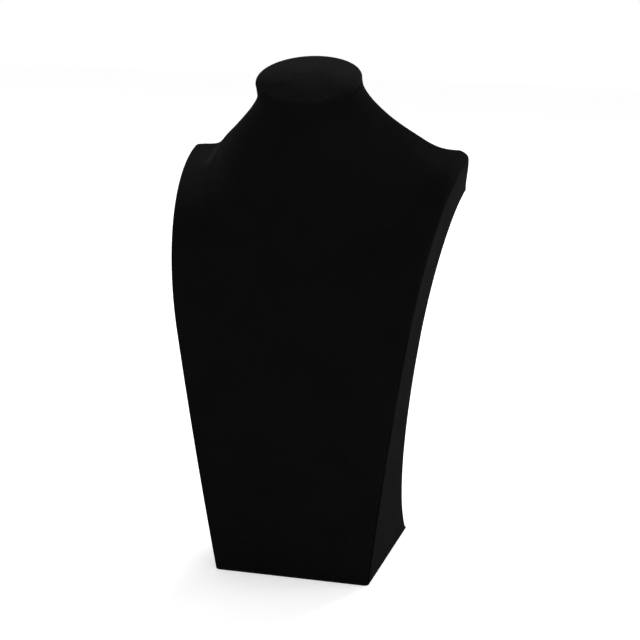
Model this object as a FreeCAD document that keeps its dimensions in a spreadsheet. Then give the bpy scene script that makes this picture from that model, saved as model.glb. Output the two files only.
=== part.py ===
"""A bust that necklaces are shown on: a board and moulded-shell body covered in black velvet.

Lengths are millimetres and angles degrees. The origin is the middle of the underside, +Z is up
and the chest faces -Y, so the bust is its own mirror image in X. The body is the side outline
drawn through from side to side, cut to the front outline, with the neck's flare sunk into it.
Every layer of it, cover, shell or hollow, is that same form set in by the layers outside it.
"""
import FreeCAD, Part
import math
import os

import Sketcher

SIZES = [
    ("overall_height", 350.0, "floor to the highest point of the neck's top"),
    ("base_width", 108.4, "underside, from side to side"),
    ("base_depth", 127.5, "underside, from front to back"),
    ("shoulder_width", 194.2, "across the shoulders at their upper edge"),
    ("side_bow", 1.5, "how far each side outline bows inwards between floor and shoulder"),
    ("chest_lead", 14.3, "how far the chest stands in front of the base"),
    ("chest_height", 170.0, "height of the foremost line of the chest"),
    ("chest_radius", 116.0, "arc of the front outline from the chest up to the shoulder"),
    ("chest_sweep", 80.0, "degrees that this arc turns through"),
    ("waist_depth", 52.0, "front to back where the side is narrowest"),
    ("waist_drop", 3.0, "how far the foremost line of the back is below the chest's"),
    ("nape_radius", 91.0, "arc of the back outline from the waist up to the shoulder"),
    ("nape_sweep", 80.0, "degrees that this arc turns through"),
    ("neck_width", 70.4, "oval top of the neck, from side to side"),
    ("neck_depth", 64.8, "oval top of the neck, along its slope"),
    ("top_slope", 24.0, "degrees that the neck's top slopes down to the front"),
    ("neck_lean", 18.5, "degrees that the neck leans forward below its top"),
    ("neck_setback", 24.6, "middle of the neck's top, behind the front of the base"),
    ("throat_length", 33.0, "how strongly the front of the neck keeps to its lean"),
    ("throat_turn", 14.0, "degrees up the chest arc where the throat runs out"),
    ("throat_pull", 52.0, "how strongly the throat keeps to the chest where it runs out"),
    ("nape_length", 20.0, "how strongly the back of the neck keeps to its lean"),
    ("nape_margin", 8.0, "from the lower edge of the shoulder's end face up to the nape"),
    ("nape_pull", 24.0, "how strongly the nape keeps to the end face where it runs out"),
    ("flare_width", 177.0, "width of the neck's flare where it sinks into the shoulders"),
    ("flare_shift", 62.0, "how far the widest line of the flare ends behind its middle"),
    ("flare_sink", 2.5, "depth of the flare's foot under the surface of chest and back"),
    ("cloth", 1.2, "velvet with its pile"),
    ("shell_wall", 3.0, "moulded shell and back panel"),
    ("side_board", 4.0, "side boards"),
    ("base_board", 9.0, "board in the foot of the body"),
    ("neck_board", 6.0, "oval board that closes the neck"),
    ("neck_board_gap", 0.2, "play of the oval board in the neck"),
    ("underside_sheet", 1.5, "stiff sheet glued under the base"),
    ("front_lap", 12.0, "how far the front cover is turned in under the shoulder"),
]
SECTIONS = 9
SECTION_POINTS = 24
FLARE_START = 0.08
FLARE_END = 0.87
FLARE_SHIFT_POWER = 1.3
FLARE_SQUARENESS = 2.2
OVERCUT = 20.0
OPEN_TOP = 5.0
AIR = 1.0
START, END, CENTRE = range(1, 4)
HALF_TURN = math.degrees(math.pi)

doc = FreeCAD.newDocument("necklace_bust")
sheet = doc.addObject("Spreadsheet::Sheet", "Sizes")
for row, (alias, number, meaning) in enumerate(SIZES, start=1):
    sheet.set(f"A{row}", str(number))
    sheet.setAlias(f"A{row}", alias)
    sheet.set(f"B{row}", meaning)
doc.recompute()


def value(formula):
    """What a formula in the sheet's sizes comes to."""
    result = sheet.evalExpression(formula)
    return float(getattr(result, "Value", result))


# Formulas of the body's outlines
CHEST_Y = "(-Sizes.base_depth / 2 - Sizes.chest_lead)"
WAIST_Y = f"({CHEST_Y} + Sizes.waist_depth)"
WAIST_Z = "(Sizes.chest_height - Sizes.waist_drop)"
BACK_REACH = f"(Sizes.base_depth / 2 - {WAIST_Y})"
BELLY_RADIUS = "((Sizes.chest_height^2 + Sizes.chest_lead^2) / (2 * Sizes.chest_lead))"
BACK_RADIUS = f"(({WAIST_Z}^2 + {BACK_REACH}^2) / (2 * {BACK_REACH}))"
CHEST_CENTRE = f"({CHEST_Y} + Sizes.chest_radius)"
NAPE_CENTRE = f"({WAIST_Y} + Sizes.nape_radius)"
SHOULDER_Y = f"({CHEST_CENTRE} - Sizes.chest_radius * cos(Sizes.chest_sweep))"
SHOULDER_Z = "(Sizes.chest_height + Sizes.chest_radius * sin(Sizes.chest_sweep))"
TIP_Y = f"({NAPE_CENTRE} - Sizes.nape_radius * cos(Sizes.nape_sweep))"
TIP_Z = f"({WAIST_Z} + Sizes.nape_radius * sin(Sizes.nape_sweep))"
END_SLOPE = f"atan2({SHOULDER_Z} - {TIP_Z}; {TIP_Y} - {SHOULDER_Y})"
SPREAD = "((Sizes.shoulder_width - Sizes.base_width) / 2)"
CHORD = f"sqrt({SPREAD}^2 + {SHOULDER_Z}^2)"
SIDE_RADIUS = f"({CHORD}^2 / (8 * Sizes.side_bow) + Sizes.side_bow / 2)"
SIDE_CENTRE_X = (f"((Sizes.base_width + Sizes.shoulder_width) / 4"
                 f" + ({SIDE_RADIUS} - Sizes.side_bow) * {SHOULDER_Z} / {CHORD})")
SIDE_CENTRE_Z = f"({SHOULDER_Z} / 2 - ({SIDE_RADIUS} - Sizes.side_bow) * {SPREAD} / {CHORD})"
SURFACE = "0"
COVERED = "Sizes.cloth"
HOLLOW = "(Sizes.cloth + Sizes.shell_wall)"
BOARDED = "(Sizes.cloth + Sizes.side_board)"


def new_sketch(name, across):
    """A sketch whose upward axis is +Z and whose other axis is +Y or +X of the part."""
    sketch = doc.addObject("Sketcher::SketchObject", name)
    turns = {
        "Y": FreeCAD.Rotation(FreeCAD.Vector(1, 1, 1), 120),
        "X": FreeCAD.Rotation(FreeCAD.Vector(1, 0, 0), 90),
    }
    sketch.Placement = FreeCAD.Placement(FreeCAD.Vector(), turns[across])
    return sketch


def hold(sketch, edge, point, across=None, up=None):
    """Holds a point of an edge at formulas for its place across and up the sketch."""
    for kind, formula in (("DistanceX", across), ("DistanceY", up)):
        if formula is not None:
            number = sketch.addConstraint(Sketcher.Constraint(kind, edge, point, value(formula)))
            sketch.setExpression(f"Constraints[{number}]", formula)


def hold_radius(sketch, edge, formula):
    number = sketch.addConstraint(Sketcher.Constraint("Radius", edge, value(formula)))
    sketch.setExpression(f"Constraints[{number}]", formula)


def chain(sketch, *joints):
    """Joins ends of edges: each joint names an edge and its end, then the next edge and its."""
    for joint in joints:
        sketch.addConstraint(Sketcher.Constraint("Coincident", *joint))


def arc(sketch, centre, radius, first, last):
    """Draws an arc anticlockwise between two angles in degrees and returns its number."""
    circle = Part.Circle(FreeCAD.Vector(*centre, 0), FreeCAD.Vector(0, 0, 1), radius)
    edge = Part.ArcOfCircle(circle, math.radians(first), math.radians(last))
    return sketch.addGeometry(edge, False)


def line(sketch, start, end):
    """Draws a line between two places in the sketch and returns its number."""
    return sketch.addGeometry(Part.LineSegment(start, end), False)


def bridge(sketch, first, last):
    """Draws a line from an end of one edge to an end of another and joins it to both."""
    edge = line(sketch, sketch.getPoint(*first), sketch.getPoint(*last))
    chain(sketch, (*first, edge, START), (edge, END, *last))


def half_turn_arc(sketch, centre, height, reach, top=None, foot=None):
    """An arc whose foremost point, reach ahead of its centre, is its end, or its start.

    With top it goes up from there to the angle top, and with foot down to that height.
    """
    middle = (value(centre), value(height))
    radius = value(reach)
    if top is not None:
        edge = arc(sketch, middle, radius, HALF_TURN - value(top), HALF_TURN)
        hold(sketch, edge, START, across=f"{centre} - {reach} * cos({top})")
    else:
        drop = math.degrees(math.asin((middle[1] - foot) / radius))
        edge = arc(sketch, middle, radius, HALF_TURN, HALF_TURN + drop)
        hold(sketch, edge, END, up=str(foot))
    hold(sketch, edge, CENTRE, across=centre, up=height)
    return edge


def side_prism(name, inset):
    """The side outline set in by inset, from side to side, down just past the floor."""
    sketch = new_sketch(f"{name}_outline", "Y")
    chest_reach = f"(Sizes.chest_radius - {inset})"
    nape_reach = f"(Sizes.nape_radius + {inset})"
    chest_top = (f"({END_SLOPE} + asin((Sizes.chest_radius * sin(Sizes.chest_sweep * 1deg"
                 f" - {END_SLOPE}) - {inset}) / {chest_reach}))")
    nape_top = (f"({END_SLOPE} + asin((Sizes.nape_radius * sin(Sizes.nape_sweep * 1deg"
                f" - {END_SLOPE}) - {inset}) / {nape_reach}))")
    belly = half_turn_arc(sketch, f"({CHEST_Y} + {BELLY_RADIUS})", "Sizes.chest_height",
                          f"({BELLY_RADIUS} - {inset})", foot=-AIR)
    chest = half_turn_arc(sketch, CHEST_CENTRE, "Sizes.chest_height", chest_reach, top=chest_top)
    nape = half_turn_arc(sketch, NAPE_CENTRE, WAIST_Z, nape_reach, top=nape_top)
    back = half_turn_arc(sketch, f"({WAIST_Y} + {BACK_RADIUS})", WAIST_Z,
                         f"({BACK_RADIUS} + {inset})", foot=-AIR)
    hold(sketch, belly, START, across=f"{CHEST_Y} + {inset}", up="Sizes.chest_height")
    hold(sketch, back, START, across=f"{WAIST_Y} - {inset}", up=WAIST_Z)
    chain(sketch, (belly, START, chest, END), (nape, END, back, START))
    bridge(sketch, (chest, START), (nape, START))
    bridge(sketch, (back, END), (belly, END))
    return through(name, sketch, FreeCAD.Vector(1, 0, 0))


def front_prism(name, inset):
    """The front outline set in by inset on each side, from front to back."""
    sketch = new_sketch(f"{name}_outline", "X")
    radius = value(SIDE_RADIUS)
    height = value(SIDE_CENTRE_Z)
    over = "Sizes.overall_height"
    drop = math.degrees(math.asin((height + OVERCUT) / radius))
    rise = math.degrees(math.asin((value(over) - height) / radius))
    centre = value(f"{SIDE_CENTRE_X} - {inset}")
    right = arc(sketch, (centre, height), radius, HALF_TURN - rise, HALF_TURN + drop)
    left = arc(sketch, (-centre, height), radius, -drop, rise)
    for edge, sign in ((right, ""), (left, "-")):
        hold(sketch, edge, CENTRE, across=f"{sign}({SIDE_CENTRE_X} - {inset})", up=SIDE_CENTRE_Z)
        hold_radius(sketch, edge, SIDE_RADIUS)
        upper, lower = (START, END) if edge == right else (END, START)
        hold(sketch, edge, upper, up=over)
        hold(sketch, edge, lower, up=str(-OVERCUT))
    bridge(sketch, (right, START), (left, END))
    bridge(sketch, (left, START), (right, END))
    return through(name, sketch, FreeCAD.Vector(0, 1, 0))


def back_zone(name):
    """Everything behind a line that runs up inside the hollow body and leaves it at the lap.

    The lap is the edge of the front cover, turned in under the shoulder, and of the shell.
    """
    sketch = new_sketch(f"{name}_outline", "Y")
    lap = "(Sizes.nape_sweep * 1deg - Sizes.front_lap / Sizes.nape_radius * 1rad)"

    def on_nape(reach, angle):
        return (f"{NAPE_CENTRE} - (Sizes.nape_radius + {reach}) * cos({angle})",
                f"{WAIST_Z} + (Sizes.nape_radius + {reach}) * sin({angle})")

    behind_lap, level = on_nape(-OVERCUT, lap)
    far = "Sizes.base_depth / 2 + Sizes.nape_radius"
    corners = [("0", str(-OVERCUT)), (f"{WAIST_Y} - Sizes.waist_depth / 2", WAIST_Z),
               on_nape("Sizes.waist_depth / 2", "Sizes.nape_sweep / 2"),
               on_nape(f"{HOLLOW} + {AIR}", lap), (behind_lap, level), (far, level),
               (far, str(-OVERCUT))]
    places = [FreeCAD.Vector(value(across), value(up)) for across, up in corners]
    edges = [line(sketch, *ends) for ends in zip(places, places[1:] + places[:1])]
    for edge, after, (across, up) in zip(edges, edges[1:] + edges[:1], corners):
        hold(sketch, edge, START, across=across, up=up)
        chain(sketch, (edge, END, after, START))
    return through(name, sketch, FreeCAD.Vector(1, 0, 0))


def through(name, sketch, direction):
    """Draws a closed sketch out on both sides of its plane, past the whole bust."""
    prism = doc.addObject("Part::Extrusion", name)
    prism.Base = sketch
    prism.DirMode = "Custom"
    prism.Dir = direction
    prism.Solid = True
    prism.FaceMakerClass = "Part::FaceMakerBullseye"
    for side in ("LengthFwd", "LengthRev"):
        prism.setExpression(side, "Sizes.overall_height")
    return prism


def bezier(points, part):
    """A place along a cubic curve in the side view, as its y and z."""
    left = 1 - part
    shares = (left**3, 3 * left**2 * part, 3 * left * part**2, part**3)
    return [sum(share * point[axis] for share, point in zip(shares, points)) for axis in (0, 1)]


def eased(part):
    """From 0 to 1 without a kink at either end."""
    part = min(max(part, 0.0), 1.0)
    return part * part * (3 - 2 * part)


def neck_form(name, inset, top_drop):
    """The neck and its flare down to chest and nape, set in by inset.

    Its sections are eggs, each in a plane that holds a point of the throat's curve and a point
    of the nape's. Both curves leave the neck's top along its lean. The throat's runs out along
    the chest arc and the nape's along the end face. No sketch curve has an egg's form, so the
    sections are splines through points of a formula. The top is top_drop below the neck's.
    """
    lean, tilt, turn = [math.radians(value(f"Sizes.{name}"))
                        for name in ("neck_lean", "top_slope", "throat_turn")]
    down = (math.sin(lean), -math.cos(lean))
    slope, into_top = (math.cos(tilt), math.sin(tilt)), (math.sin(tilt), -math.cos(tilt))
    half_depth = value("Sizes.neck_depth / 2")
    middle = (value("Sizes.neck_setback - Sizes.base_depth / 2"),
              value("Sizes.overall_height") - half_depth * slope[1])
    end_slope = math.radians(value(END_SLOPE))
    along = (math.cos(end_slope), -math.sin(end_slope))
    sink = value("Sizes.flare_sink")
    reach = value("Sizes.chest_radius") - sink
    chest_tangent = (math.sin(turn), math.cos(turn))

    def moved(point, direction, distance):
        return tuple(p + distance * d for p, d in zip(point, direction))

    throat_top = moved(middle, slope, -half_depth)
    throat_foot = (value(CHEST_CENTRE) - reach * math.cos(turn),
                   value("Sizes.chest_height") + reach * math.sin(turn))
    nape_top = moved(middle, slope, half_depth)
    nape_foot = moved((value(TIP_Y), value(TIP_Z)), along, -value("Sizes.nape_margin"))
    nape_foot = moved(nape_foot, (along[1], -along[0]), sink)
    throat = [throat_top, moved(throat_top, down, value("Sizes.throat_length")),
              moved(throat_foot, chest_tangent, value("Sizes.throat_pull")), throat_foot]
    nape = [nape_top, moved(nape_top, down, value("Sizes.nape_length")),
            moved(nape_foot, along, -value("Sizes.nape_pull")), nape_foot]
    narrow, wide = value("Sizes.neck_width / 2"), value("Sizes.flare_width / 2")
    steps = [step / SECTION_POINTS for step in range(SECTION_POINTS + 1)]
    wires = []
    for number in range(SECTIONS):
        part = number / (SECTIONS - 1)
        front, rear = bezier(throat, part), bezier(nape, part)
        if number == 0:
            front, rear = [moved(point, into_top, top_drop) for point in (front, rear)]
        span = math.dist(front, rear)
        axis = [(r - f) / span for f, r in zip(front, rear)]
        spread = eased((part - FLARE_START) / (FLARE_END - FLARE_START))
        half_width = narrow + (wide - narrow) * spread - inset
        widest = value("Sizes.flare_shift") * part**FLARE_SHIFT_POWER
        power = 2 / (2 + (FLARE_SQUARENESS - 2) * eased(part))
        points = []
        for step in range(SECTION_POINTS):
            angle = 2 * math.pi * (step + 0.5) / SECTION_POINTS
            side, fore = math.cos(angle), math.sin(angle)
            half_span = span / 2 - inset - math.copysign(widest, fore)
            x = half_width * math.copysign(abs(side) ** power, side)
            s = span / 2 + widest + half_span * math.copysign(abs(fore) ** power, fore)
            y, z = moved(front, axis, s)
            points.append(FreeCAD.Vector(x, y, z))
        curve = Part.BSplineCurve()
        curve.interpolate(Points=points, PeriodicFlag=True, Parameters=steps)
        wires.append(Part.Wire(curve.toShape()))
    form = doc.addObject("Part::Feature", name)
    form.Shape = Part.makeLoft(wires, True, False)
    return without(f"{name}_above_nape", form, under_nape(f"{name}_limit", inset + sink))


def under_nape(name, inset):
    """A round bar that fills the hollow of the nape, and goes inset into the body."""
    bar = doc.addObject("Part::Cylinder", name)
    bar.Placement.Rotation = FreeCAD.Rotation(FreeCAD.Vector(0, 1, 0), 90)
    bar.setExpression("Radius", f"Sizes.nape_radius + {inset}")
    bar.setExpression("Height", "2 * Sizes.overall_height")
    bar.setExpression("Placement.Base.x", "-Sizes.overall_height")
    bar.setExpression("Placement.Base.y", NAPE_CENTRE)
    bar.setExpression("Placement.Base.z", WAIST_Z)
    return bar


def joined(name, *forms):
    """What lies in any of the forms."""
    fusion = doc.addObject("Part::MultiFuse", name)
    fusion.Shapes = list(forms)
    return fusion


def shared(name, *forms):
    """What lies in all of the forms."""
    overlap = doc.addObject("Part::MultiCommon", name)
    overlap.Shapes = list(forms)
    return overlap


def without(name, form, tool):
    """What is left of a form when the tool's is taken away."""
    rest = doc.addObject("Part::Cut", name)
    rest.Base, rest.Tool = form, tool
    return rest


def slab(name, low, high):
    """A level block from one height to another, wider than the bust."""
    block = doc.addObject("Part::Box", name)
    for side, formula in (("Length", "2 * Sizes.overall_height"),
                          ("Width", "2 * Sizes.overall_height"), ("Height", f"{high} - {low}")):
        block.setExpression(side, formula)
    block.setExpression("Placement.Base.x", "-Sizes.overall_height")
    block.setExpression("Placement.Base.y", "-Sizes.overall_height")
    block.setExpression("Placement.Base.z", f"{low}")
    return block


def half_space(name, sign):
    """All that lies on one side of the middle plane."""
    block = slab(name, f"(-{OVERCUT})", "Sizes.overall_height")
    block.setExpression("Length", "Sizes.overall_height")
    block.setExpression("Placement.Base.x", "0" if sign > 0 else "-Sizes.overall_height")
    return block


def neck_top_layer(name, low, high):
    """A layer of the neck's top, between two depths square to its slope, wider than the neck."""
    block = doc.addObject("Part::Box", name)
    for side, formula in (("Length", "4 * Sizes.neck_width"), ("Width", "4 * Sizes.neck_depth"),
                          ("Height", f"{high} - {low}")):
        block.setExpression(side, formula)
    tilt = "Sizes.top_slope"
    half = "2 * Sizes.neck_depth"
    block.Placement.Rotation = FreeCAD.Rotation(FreeCAD.Vector(1, 0, 0), value(tilt))
    block.setExpression("Placement.Rotation.Angle", tilt)
    block.setExpression("Placement.Base.x", "-2 * Sizes.neck_width")
    block.setExpression("Placement.Base.y", "Sizes.neck_setback - Sizes.base_depth / 2"
                        f" - {half} * cos({tilt}) + {high} * sin({tilt})")
    block.setExpression("Placement.Base.z", "Sizes.overall_height - (Sizes.neck_depth / 2"
                        f" + {half}) * sin({tilt}) - {high} * cos({tilt})")
    return block


def bust_form(name, inset, top_drop, front):
    """The whole form of the bust set in by inset, between the sides of a front outline."""
    torso = side_prism(f"{name}_torso", inset)
    neck = neck_form(f"{name}_neck", value(inset), top_drop)
    return shared(name, joined(f"{name}_round", torso, neck), front)


FRONT_SURFACE = front_prism("front_surface", SURFACE)
FRONT_COVERED = front_prism("front_covered", COVERED)
FRONT_BOARDED = front_prism("front_boarded", BOARDED)
BUST = bust_form("bust", SURFACE, 0.0, FRONT_SURFACE)
COVERED_BUST = bust_form("covered_bust", COVERED, value(COVERED), FRONT_COVERED)
HOLLOW_BUST = bust_form("hollow_bust", HOLLOW, -OPEN_TOP, FRONT_COVERED)
BACK = back_zone("back_zone")
BODY_SPACE = slab("body_space", "Sizes.underside_sheet", f"(Sizes.overall_height + {AIR})")
TOP_LAYER = neck_top_layer("top_layer", f"(-{AIR})", "Sizes.cloth")


def front_and_back(name, whole):
    """Parts a layer of the bust where the front turns in under the shoulder."""
    layer = shared(name, whole, BODY_SPACE)
    return without(f"{name}_front", layer, BACK), shared(f"{name}_back", layer, BACK)


def covers():
    """Velvet on the front, over the shoulders and round the neck, and apart from it the back."""
    skin = without("skin", shared("skin_between_sides", BUST, FRONT_COVERED), COVERED_BUST)
    front, back = front_and_back("skin_layer", without("skin_below_top", skin, TOP_LAYER))
    return {"front_cover": front, "back_cover": back}


def side_covers():
    """A strip of velvet on each side, as wide as the body is deep."""
    sides = shared("side_skin", without("side_skin_layer", BUST, FRONT_COVERED), BODY_SPACE)
    return {f"side_cover_{hand}": shared(f"side_cover_{hand}", sides, half)
            for hand, half in HALVES.items()}


def shells():
    """The moulded front with shoulders and neck, and the bent panel that closes the back."""
    front, back = front_and_back("shell_layer", without("shell", COVERED_BUST, HOLLOW_BUST))
    return {"front_shell": front, "back_panel": back}


def side_boards():
    """A board cut to the side outline on each side, between the shell and the back panel."""
    sides = shared("board_pair", without("board_layer", HOLLOW_BUST, FRONT_BOARDED), BODY_SPACE)
    return {f"side_board_{hand}": shared(f"side_board_{hand}", sides, half)
            for hand, half in HALVES.items()}


def base_board():
    """The thick board in the foot, inside all four walls."""
    foot = slab("foot_layer", "Sizes.underside_sheet",
                "(Sizes.underside_sheet + Sizes.base_board)")
    return shared("base_board", HOLLOW_BUST, FRONT_BOARDED, foot)


def neck_board():
    """The oval board in the open top of the neck, level with the shell's edge."""
    inset = value(f"{HOLLOW} + Sizes.neck_board_gap")
    layer = neck_top_layer("board_depth", "Sizes.cloth", "(Sizes.cloth + Sizes.neck_board)")
    return shared("neck_board", neck_form("neck_board_form", inset, -OPEN_TOP), layer)


def neck_cover():
    """The oval of velvet on the neck's top, which hides the edge of the front cover."""
    return shared("neck_cover", BUST, TOP_LAYER)


def underside_sheet():
    """The sheet that the bust stands on."""
    return shared("underside_sheet", BUST, slab("floor_layer", "0", "Sizes.underside_sheet"))


HALVES = {"left": half_space("left_half", 1), "right": half_space("right_half", -1)}
PARTS = {
    **covers(), **side_covers(), "neck_cover": neck_cover(),
    **shells(), **side_boards(), "base_board": base_board(),
    "neck_board": neck_board(), "underside_sheet": underside_sheet(),
}
doc.recompute()


def check(thing):
    """Stops with a message if an object failed or its shape isn't sound."""
    if {"Invalid", "Error"} & set(thing.State):
        raise SystemExit(f"{thing.Name} failed: {thing.State}")
    if hasattr(thing, "Shape") and (thing.Shape.isNull() or not thing.Shape.isValid()):
        raise SystemExit(f"{thing.Name} has no sound shape")


for thing in doc.Objects:
    check(thing)
os.makedirs("parts", exist_ok=True)
for label, piece in PARTS.items():
    piece.Label = label
    if len(piece.Shape.Solids) != 1:
        raise SystemExit(f"{label} has {len(piece.Shape.Solids)} solids")
    piece.Shape.exportStep(f"parts/{label}.step")
    print(f"{label}: {piece.Shape.Volume / 1000:.1f} cm3, {len(piece.Shape.Faces)} faces")
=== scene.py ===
# %% [markdown]
# # A bust that necklaces are shown on
# A body of boards and a moulded shell, with black velvet glued over all of it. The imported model
# gives every solid its place. This file dresses it: the five pieces of velvet are made again as
# cloth with soft edges and a pile, and the boards and shells under them get their finishes.
#
# Lengths are millimetres, as on a drawing, and are turned into Blender's metres in one place.

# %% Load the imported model
import math

import bpy
import numpy as np
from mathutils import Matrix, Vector


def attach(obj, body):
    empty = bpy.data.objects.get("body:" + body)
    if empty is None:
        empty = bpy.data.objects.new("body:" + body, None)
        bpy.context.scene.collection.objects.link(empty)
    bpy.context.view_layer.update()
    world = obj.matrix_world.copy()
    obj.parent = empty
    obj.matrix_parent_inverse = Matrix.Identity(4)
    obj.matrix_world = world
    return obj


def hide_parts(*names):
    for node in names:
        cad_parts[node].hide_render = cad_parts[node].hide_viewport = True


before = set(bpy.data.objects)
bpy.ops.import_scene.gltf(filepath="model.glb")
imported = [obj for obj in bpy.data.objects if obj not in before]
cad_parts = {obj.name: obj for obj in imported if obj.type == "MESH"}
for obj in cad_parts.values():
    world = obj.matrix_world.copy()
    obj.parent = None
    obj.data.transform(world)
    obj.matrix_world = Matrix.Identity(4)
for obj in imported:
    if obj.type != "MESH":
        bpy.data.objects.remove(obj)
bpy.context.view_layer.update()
METRES = 0.001
print("nodes:", ", ".join(sorted(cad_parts)))

# %% [markdown]
# ## The sizes
# The same sizes as the solids', because the velvet lies on them. The side outline has four arcs
# and the slanted end face of the shoulders. The front outline is an arc on each side.

# %% Sizes of the body
OVERALL_HEIGHT = 350.0
BASE_WIDTH, BASE_DEPTH = 108.4, 127.5
SHOULDER_WIDTH, SIDE_BOW = 194.2, 1.5
CHEST_LEAD, CHEST_HEIGHT, CHEST_RADIUS, CHEST_SWEEP = 14.3, 170.0, 116.0, 80.0
WAIST_DEPTH, WAIST_DROP, NAPE_RADIUS, NAPE_SWEEP = 52.0, 3.0, 91.0, 80.0
FRONT_LAP, UNDERSIDE = 12.0, 1.5

chest_y = -BASE_DEPTH / 2 - CHEST_LEAD
waist_y = chest_y + WAIST_DEPTH
waist_height = CHEST_HEIGHT - WAIST_DROP
belly_radius = (CHEST_HEIGHT**2 + CHEST_LEAD**2) / (2 * CHEST_LEAD)
back_reach = BASE_DEPTH / 2 - waist_y
back_radius = (waist_height**2 + back_reach**2) / (2 * back_reach)
CHEST_CENTRE = np.array([chest_y + CHEST_RADIUS, CHEST_HEIGHT])
BELLY_CENTRE = np.array([chest_y + belly_radius, CHEST_HEIGHT])
NAPE_CENTRE = np.array([waist_y + NAPE_RADIUS, waist_height])
BACK_CENTRE = np.array([waist_y + back_radius, waist_height])


def on_arc(centre, radius, degrees):
    """A place in the side view, an angle above the way to the front, as its y and z."""
    angle = np.radians(degrees)
    return np.stack([centre[0] - radius * np.cos(angle), centre[1] + radius * np.sin(angle)], -1)


SHOULDER = on_arc(CHEST_CENTRE, CHEST_RADIUS, CHEST_SWEEP)
TIP = on_arc(NAPE_CENTRE, NAPE_RADIUS, NAPE_SWEEP)
print(f"shoulder edge at {SHOULDER.round(1)}, lower edge of the end face at {TIP.round(1)}")

# %% [markdown]
# ## The body's outline as one path
# Velvet never shows a knife edge, so the two edges across the shoulders are rounded: a corner is
# cut off at the same distance on both sides and bridged by a curve that touches both. A bevel on
# a finished mesh could do this too, but here every cover has to follow the same outline. As a
# chain of points with even steps it is all that they need: a place on it is looked up by length.

# %% The side outline
STEP = 0.4
SHOULDER_TRIM, TIP_TRIM = 3.4, 3.6
ARC_POINTS, JOIN_POINTS = 400, 10


def evenly(points):
    """The same path with points at even steps along it."""
    lengths = np.concatenate([[0.0], np.cumsum(np.linalg.norm(np.diff(points, axis=0), axis=1))])
    places = np.linspace(0, lengths[-1], int(lengths[-1] / STEP) + 1)
    return np.stack([np.interp(places, lengths, axis) for axis in points.T], -1)


def arc_path(centre, radius, first, last):
    """An arc of the side view between two angles, as even points."""
    return evenly(on_arc(centre, radius, np.linspace(first, last, ARC_POINTS)))


def rounded_join(before, after, trim):
    """Two paths that meet in a corner, joined by a curve that starts trim before it.

    The curve is (1 - t)^2 A + 2 t (1 - t) C + t^2 B, from A on one side to B past corner C.
    """
    cut = int(trim / STEP)
    t = np.linspace(0, 1, JOIN_POINTS + 2)[1:-1, None]
    first, corner, last = before[-1 - cut], after[0], after[cut]
    curve = (1 - t) ** 2 * first + 2 * t * (1 - t) * corner + t**2 * last
    return np.concatenate([before[:-cut], curve, after[cut:]])


def floor_angle(radius, height):
    """The angle below level at which an arc reaches the underside sheet, in degrees."""
    return -math.degrees(math.asin((height - UNDERSIDE) / radius))


lap_sweep = NAPE_SWEEP - math.degrees(FRONT_LAP / NAPE_RADIUS)
chest_side = np.concatenate([
    arc_path(BELLY_CENTRE, belly_radius, floor_angle(belly_radius, CHEST_HEIGHT), 0)[:-1],
    arc_path(CHEST_CENTRE, CHEST_RADIUS, 0, CHEST_SWEEP)])
end_face = evenly(np.array([SHOULDER, TIP]))
nape_side = np.concatenate([
    arc_path(NAPE_CENTRE, NAPE_RADIUS, NAPE_SWEEP, 0)[:-1],
    arc_path(BACK_CENTRE, back_radius, 0, floor_angle(back_radius, waist_height))])
OUTLINE = evenly(rounded_join(rounded_join(chest_side, end_face, SHOULDER_TRIM), nape_side,
                              TIP_TRIM))
LENGTHS = np.arange(len(OUTLINE)) * np.linalg.norm(OUTLINE[1] - OUTLINE[0])


def nearest_length(points):
    """How far along the outline its point nearest to each of some places is."""
    apart = np.linalg.norm(OUTLINE[None] - points[:, None], axis=-1)
    return LENGTHS[np.argmin(apart, axis=1)]


LAP = nearest_length(on_arc(NAPE_CENTRE, NAPE_RADIUS, np.array([lap_sweep])))[0]
RIDGE, TIP_LENGTH = nearest_length(np.array([SHOULDER, TIP]))
WHOLE = LENGTHS[-1]
print(f"outline {WHOLE:.0f} mm, ridge at {RIDGE:.0f}, tip at {TIP_LENGTH:.0f}, lap at {LAP:.0f}")

# %% [markdown]
# ## Where a point of the velvet lies
# Front and back are the outline drawn straight through, so a point of them needs only its length
# along the outline and its place across. Towards the sides the surface turns down in a quarter
# round, and the strip on the side turns to meet it halfway, which gives the soft edge of the
# real covers and a seam in the middle of it.

# %% Surface of front and back
EDGE_ROUND = 3.1
SEAM_GAP = 0.05


def half_width(height):
    """Half the width at a height: an arc through base and shoulder edge, bowed inwards."""
    spread = (SHOULDER_WIDTH - BASE_WIDTH) / 2
    chord = math.hypot(spread, SHOULDER[1])
    radius = chord**2 / (8 * SIDE_BOW) + SIDE_BOW / 2
    across = (BASE_WIDTH + SHOULDER_WIDTH) / 4 + (radius - SIDE_BOW) * SHOULDER[1] / chord
    up = SHOULDER[1] / 2 - (radius - SIDE_BOW) * spread / chord
    return across - np.sqrt(radius**2 - (height - up) ** 2)


def turned_down(distance):
    """How deep a rounded edge lies at a distance from its corner: r - sqrt(r^2 - (r - d)^2)."""
    short = np.clip(EDGE_ROUND - distance, 0, EDGE_ROUND)
    return EDGE_ROUND - np.sqrt(EDGE_ROUND**2 - short**2)


SEAM_INSET = EDGE_ROUND * (1 - math.sqrt(0.5)) + SEAM_GAP


def on_outline(length):
    """Place and outward direction in the side view, at a length along the outline."""
    place = np.stack([np.interp(length, LENGTHS, axis) for axis in OUTLINE.T], -1)
    ahead = np.stack([np.interp(length + STEP, LENGTHS, axis) for axis in OUTLINE.T], -1)
    behind = np.stack([np.interp(length - STEP, LENGTHS, axis) for axis in OUTLINE.T], -1)
    run = ahead - behind
    run /= np.linalg.norm(run, axis=-1, keepdims=True)
    return place, np.stack([-run[..., 1], run[..., 0]], -1)


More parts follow.
